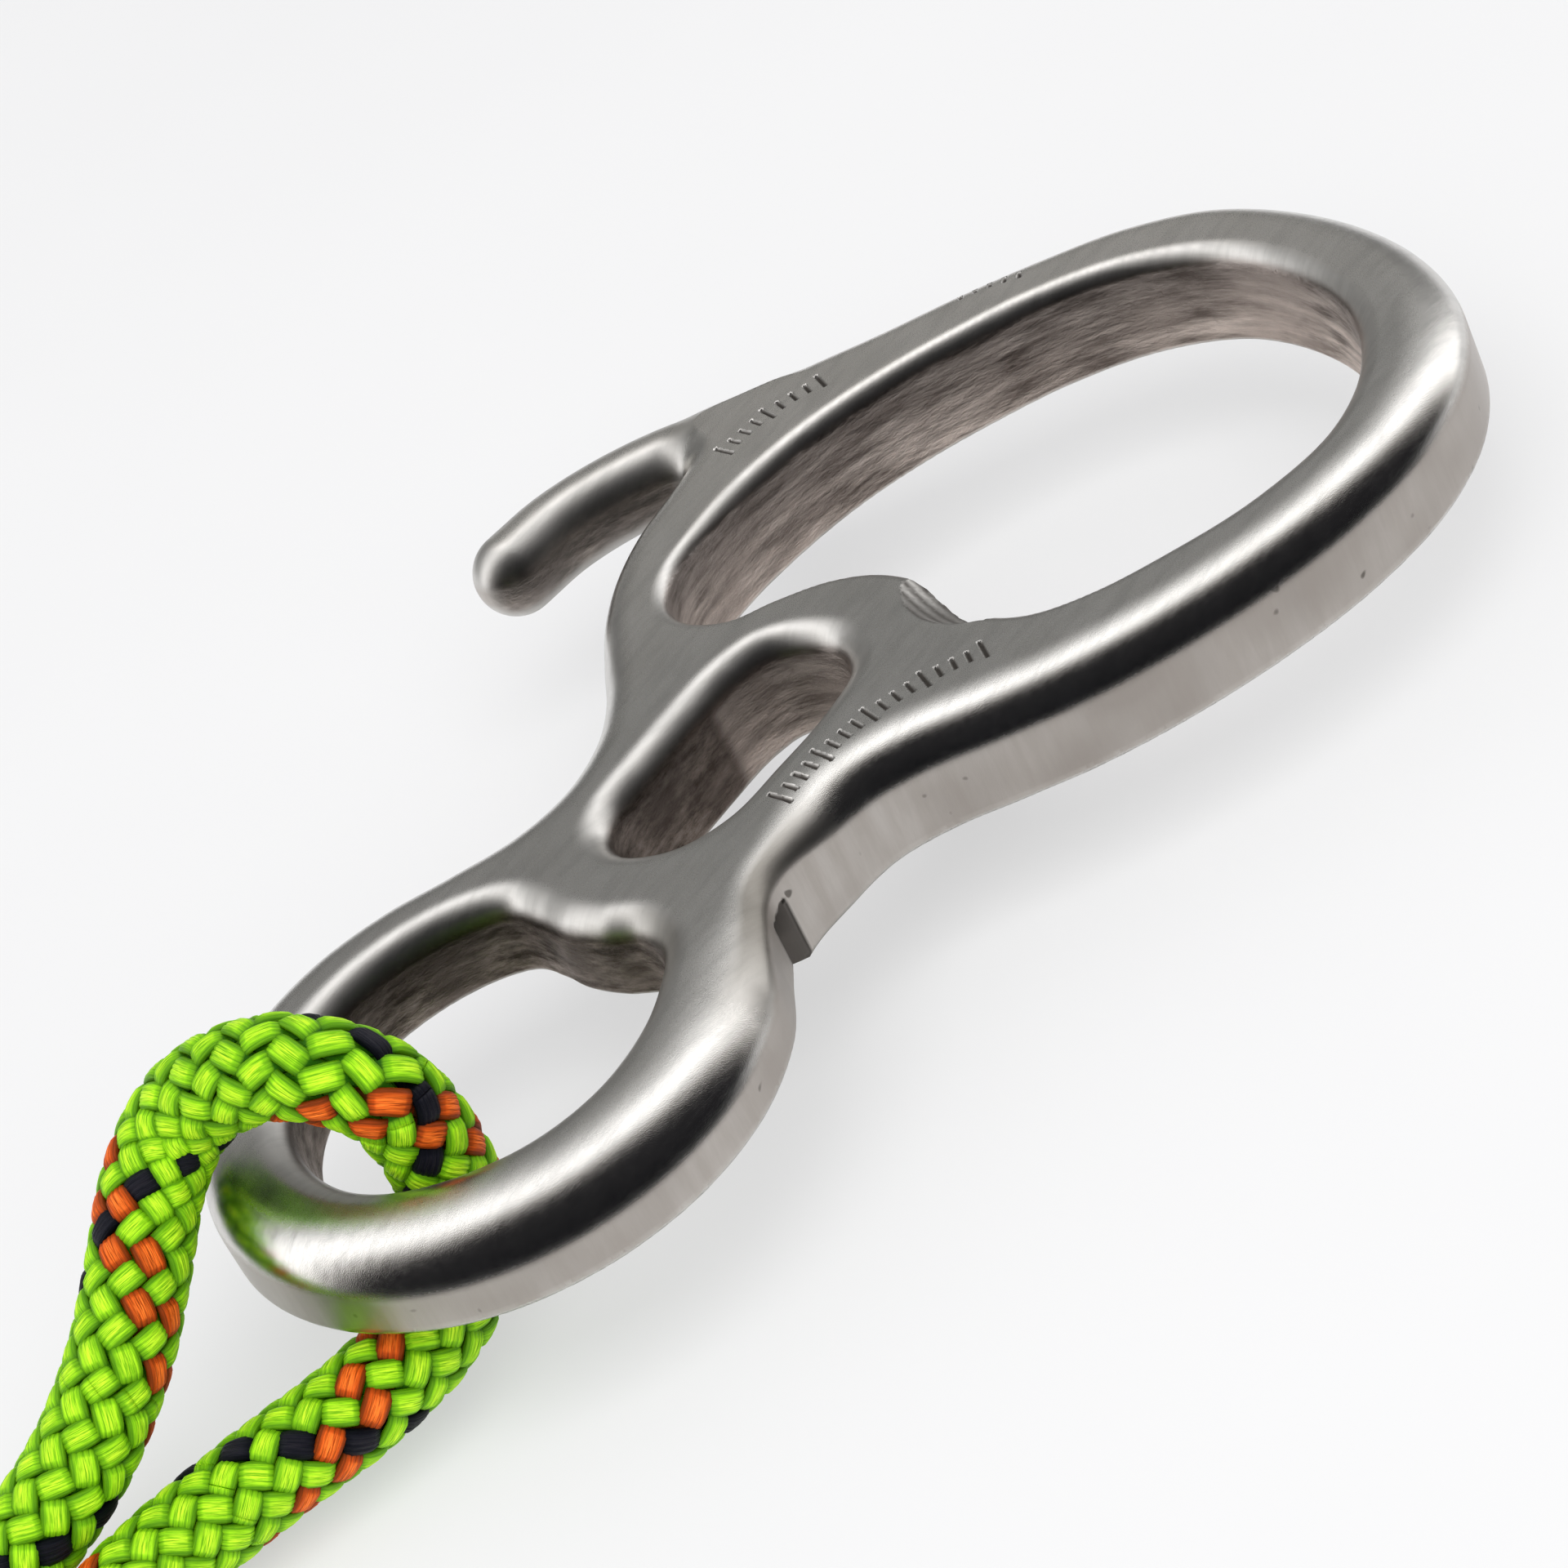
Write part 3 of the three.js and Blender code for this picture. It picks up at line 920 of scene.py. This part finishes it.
    polished = n.ramp(brushed, 0.3, 0.7, 0.15, 0.23)
    polished = n.mix_values(hole_edge, polished, n.ramp(lengthwise, 0.3, 0.7, 0.40, 0.30))
    polished = n.mix_values(horn, polished, n.ramp(blotches, 0.3, 0.7, 0.46, 0.34))
    polished = n.mix_values(neck, polished, 0.44)
    rough = n.mix_values(flat_top, polished, n.ramp(grain, 0.3, 0.7, 0.26, 0.31))
    rough = n.mix_values(flank, rough, n.ramp(rubbed, 0.3, 0.7, 0.28, 0.36))
    wall = n.math("MULTIPLY", upright, hole_wall)
    rough = n.mix_values(wall, rough, n.ramp(lengthwise, 0.3, 0.7, 0.62, 0.45))
    rough = n.mix_values(marks_and_notch_shade, rough, 0.6)

    unevenness = n.math("SUBTRACT", n.math("ADD", lengthwise, blotches), 1.0)
    cast_height = n.math("MULTIPLY", unevenness, wall)
    side_height = n.math("MULTIPLY", rubbed, n.math("MULTIPLY", flank, 0.05))
    fine = n.math("MULTIPLY", grain, 0.02)
    height = n.math("ADD", n.math("ADD", cast_height, side_height), fine)
    n.set(
        Base_Color=colour,
        Metallic=1.0,
        Roughness=rough,
        Normal=n.bump(height, 0.7, 0.0012),
    )
    return n.material


def sheath_material():
    """Shiny dyed yarns, with a painted highlight on each pick's crown and painted shade at strand
    edges, between yarns and where a strand dives under.
    """
    n = Nodes("braided_sheath")
    dye = n.attribute("dye", "Color")
    lift = n.attribute("lift")
    across = n.attribute("across")
    along = n.attribute("along")
    seed = n.attribute("seed")
    fused = n.attribute("fused")

    thread_place = n.add("ShaderNodeCombineXYZ", {0: n.math("MULTIPLY", across, 13.0)})
    n.put(thread_place.inputs[1], n.math("MULTIPLY", along, 0.55))
    n.put(thread_place.inputs[2], seed)
    threads = n.noise(thread_place.outputs[0], detail=3.0)
    pick_place = n.add("ShaderNodeCombineXYZ", {0: n.math("MULTIPLY", across, 0.6)})
    n.put(pick_place.inputs[1], n.math("MULTIPLY", along, 0.3))
    n.put(pick_place.inputs[2], seed)
    picks = n.noise(pick_place.outputs[0], detail=1.0)

    # Painted shade: a dark copy of the dye for strand edges, the liner and where a strand dives
    # under.
    gap_shade = n.mix(1.0, dye, (0.04, 0.11, 0.12, 1), "MULTIPLY")
    # A darker copy of the dye, for random thread and pick tones and for painted shade between
    # yarns.
    shade = n.mix(1.0, dye, (0.28, 0.38, 0.45, 1), "MULTIPLY")
    edge = n.math("ABSOLUTE", across)
    between = n.math("ABSOLUTE", n.math("SINE", n.math("MULTIPLY", across, YARNS * math.pi / 2)))
    colour = n.mix(n.ramp(threads, 0.35, 0.65, 0.65, 0.0), dye, shade)
    colour = n.mix(n.ramp(picks, 0.40, 0.6, 0.0, 0.38), colour, shade)
    # Painted shade in the lines between yarns.
    colour = n.mix(n.ramp(between, 0.05, 0.55, 0.75, 0.0), colour, shade)
    # Painted highlight: a pale glow added to each pick's crown.
    painted_crown_highlight = n.math("MULTIPLY", n.ramp(lift, 0.75, 1.0), n.ramp(edge, 0.75, 0.1))
    split = n.add("ShaderNodeSeparateColor", {0: dye}).outputs
    brightness = n.math("MULTIPLY", split[0], n.ramp(split[1], 0.0, 1.0, 0.35, 1.0))
    glow = n.mix(brightness, (0, 0, 0, 1), (0.92, 0.44, 0.08, 1))
    pale = n.mix(1.0, dye, glow, "ADD")
    colour = n.mix(n.math("MULTIPLY", painted_crown_highlight, n.ramp(threads, 0.4, 0.6)), colour, pale)
    # Painted shade at each strand's edges and where it dives under the crossing strands.
    colour = n.mix(n.ramp(edge, 0.55, 1.0, 0.0, 0.85), colour, gap_shade)
    colour = n.mix(n.ramp(lift, 0.05, 0.9), gap_shade, colour)
    melted = n.noise(n.scaled_place(300, 300, 300), detail=3.0)
    scorched = n.mix(n.ramp(melted, 0.35, 0.65), (0.012, 0.018, 0.006, 1), (0.05, 0.13, 0.012, 1))
    colour = n.mix(fused, colour, scorched)
    height = n.mix_values(fused, threads, n.math("MULTIPLY", melted, 2.0))
    n.set(
        Base_Color=colour,
        Roughness=n.mix_values(fused, n.ramp(threads, 0.3, 0.7, 0.62, 0.42), 0.3),
        Sheen_Weight=0.3,
        Sheen_Roughness=0.4,
        Sheen_Tint=dye,
        Specular_Tint=n.mix(0.6, (1, 1, 1, 1), dye),
        Normal=n.bump(height, 0.55, 0.00025),
    )
    n.put(n.shader.inputs["Specular IOR Level"], 0.45)
    return n.material


def core_material():
    """Undyed core yarns with a fine twist."""
    n = Nodes("core_yarn")
    twist = n.add("ShaderNodeTexWave", {"Scale": 1.0, "Distortion": 1.5, "Detail": 2.0})
    n.put(twist.inputs["Vector"], n.scaled_place(420, 900, 900))
    fibres = n.noise(n.scaled_place(400, 3000, 3000))
    shade = n.math("ADD", n.math("MULTIPLY", twist.outputs["Fac"], 0.6), fibres)
    colour = n.mix(n.ramp(shade, 0.3, 1.1), (0.55, 0.52, 0.45, 1), (0.86, 0.84, 0.78, 1))
    n.set(Base_Color=colour, Roughness=0.8, Normal=n.bump(shade, 0.5, 0.0003))
    return n.material


def floor_material():
    """Pale floor with a faint shadow, which fades to dark in low reflections of its near side."""
    n = Nodes("pale_floor")
    soft = n.noise(n.scaled_place(6, 6, 6))
    pale = n.mix(n.ramp(soft, 0.3, 0.7), (0.80, 0.80, 0.80, 1), (0.83, 0.83, 0.83, 1))
    back = n.add("ShaderNodeNewGeometry").outputs["Incoming"]
    steepness = n.add("ShaderNodeSeparateXYZ", {0: back}).outputs[2]
    away = n.add("ShaderNodeVectorMath", {0: back, 1: NEAR_SIDE}, operation="DOT_PRODUCT")
    reflected = n.add("ShaderNodeLightPath").outputs["Is Glossy Ray"]
    is_low = n.ramp(steepness, 0.42, 0.22)
    is_near = n.ramp(away.outputs["Value"], 0.1, -0.2)
    fade = n.math("MULTIPLY", is_low, is_near)
    n.set(
        Base_Color=n.mix(n.math("MULTIPLY", fade, reflected), pale, (0.02, 0.02, 0.02, 1)),
        Roughness=0.9,
    )
    seen = n.add("ShaderNodeLightPath").outputs["Is Camera Ray"]
    glow = n.add("ShaderNodeEmission", {"Color": (*FLOOR_WHITE, 1)}).outputs[0]
    share = n.math("MULTIPLY", seen, FLOOR_GLOW_SHARE)
    blend = n.add("ShaderNodeMixShader", {0: share, 1: n.shader.outputs[0], 2: glow})
    output = n.tree.nodes["Material Output"]
    n.tree.links.new(blend.outputs[0], output.inputs["Surface"])
    return n.material


# ---- floor, light and camera ----

FLOOR_WHITE = (0.91, 0.91, 0.915)
FLOOR_GLOW_SHARE = 0.5

VIEW_ELEVATION = math.radians(33)
VIEW_AZIMUTH = math.radians(-37)
VIEW_ROLL = math.radians(26.8)
DARK_AZIMUTH = math.radians(-28)
VIEW_DISTANCE = 0.480
VIEW_TARGET = (np.array([41.93, -11.82, 13.0]) - REST_POINT) * MM
LENS = 103.9
DOME_LIGHT = (0.70, 0.70, 0.71)
NEAR_SIDE = (math.sin(VIEW_AZIMUTH), -math.cos(VIEW_AZIMUTH), 0.0)
DARK_SIDE = (math.sin(DARK_AZIMUTH), -math.cos(DARK_AZIMUTH), 0.0)


def make_floor():
    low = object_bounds()[0]
    bpy.ops.mesh.primitive_plane_add(size=6, location=(0, 0, low[2] - 0.002))
    floor = bpy.context.active_object
    floor.name = "floor"
    floor.data.materials.append(floor_material())


def make_world():
    """An even dome that lights the scene; reflections see a studio in its place.

    The studio is grey beyond the part, bright overhead and dark on the camera's side.
    """
    world = bpy.data.worlds.new("studio")
    bpy.context.scene.world = world
    world.use_nodes = True
    tree = world.node_tree
    background = tree.nodes["Background"]
    place = tree.nodes.new("ShaderNodeTexCoord")
    towards_camera = tree.nodes.new("ShaderNodeVectorMath")
    towards_camera.operation = "DOT_PRODUCT"
    towards_camera.inputs[1].default_value = DARK_SIDE
    tree.links.new(place.outputs["Generated"], towards_camera.inputs[0])
    ramp = tree.nodes.new("ShaderNodeValToRGB")
    shift = tree.nodes.new("ShaderNodeMapRange")
    shift.inputs["From Min"].default_value = -1.0
    tree.links.new(towards_camera.outputs["Value"], shift.inputs["Value"])
    tree.links.new(shift.outputs["Result"], ramp.inputs["Fac"])
    stops = (
        (0.0, (0.22, 0.22, 0.215)),
        (0.10, (0.22, 0.22, 0.215)),
        (0.17, (0.36, 0.36, 0.355)),
        (0.25, (0.85, 0.85, 0.85)),
        (0.31, (2.3, 2.3, 2.32)),
        (0.38, (2.3, 2.3, 2.32)),
        (0.45, (0.92, 0.89, 0.86)),
        (0.51, (0.17, 0.158, 0.15)),
        (0.58, (0.018, 0.018, 0.020)),
        (1.0, (0.004, 0.004, 0.006)),
    )
    elements = ramp.color_ramp.elements
    while len(elements) < len(stops):
        elements.new(0.5)
    for element, (share, colour) in zip(elements, stops):
        element.position = share
        element.color = (*colour, 1)
    path = tree.nodes.new("ShaderNodeLightPath")
    choice = tree.nodes.new("ShaderNodeMix")
    choice.data_type = "RGBA"
    choice.inputs[6].default_value = (*DOME_LIGHT, 1)
    tree.links.new(path.outputs["Is Glossy Ray"], choice.inputs[0])
    tree.links.new(ramp.outputs["Color"], choice.inputs[7])
    tree.links.new(choice.outputs[2], background.inputs["Color"])


def add_area_light(name, location, size, power, in_reflections=True):
    light = bpy.data.lights.new(name, "AREA")
    light.shape = "RECTANGLE"
    light.size, light.size_y = size
    light.energy = power
    obj = bpy.data.objects.new(name, light)
    obj.location = location
    obj.rotation_euler = (-Vector(location)).to_track_quat("-Z", "Y").to_euler()
    obj.visible_glossy = in_reflections
    bpy.context.scene.collection.objects.link(obj)


def make_lights():
    add_area_light("broad_fill", (-0.62, -0.80, 1.35), (2.0, 2.0), 27.0, in_reflections=False)


def make_camera():
    back = Vector(
        (
            math.sin(VIEW_AZIMUTH) * math.cos(VIEW_ELEVATION),
            -math.cos(VIEW_AZIMUTH) * math.cos(VIEW_ELEVATION),
            math.sin(VIEW_ELEVATION),
        )
    )
    level_right = Vector((math.cos(VIEW_AZIMUTH), math.sin(VIEW_AZIMUTH), 0))
    level_up = back.cross(level_right)
    right = level_right * math.cos(VIEW_ROLL) - level_up * math.sin(VIEW_ROLL)
    camera = bpy.data.objects.new("camera", bpy.data.cameras.new("camera"))
    camera.data.lens = LENS
    camera.data.sensor_width = 36
    turn = Matrix((right, back.cross(right), back)).transposed()
    camera.matrix_world = Matrix.Translation(
        Vector(VIEW_TARGET) + back * VIEW_DISTANCE
    ) @ turn.to_4x4()
    bpy.context.scene.collection.objects.link(camera)
    bpy.context.scene.camera = camera


make_body()
make_rope()
make_floor()
make_world()
make_lights()
make_camera()
bpy.context.scene.view_settings.view_transform = "Standard"
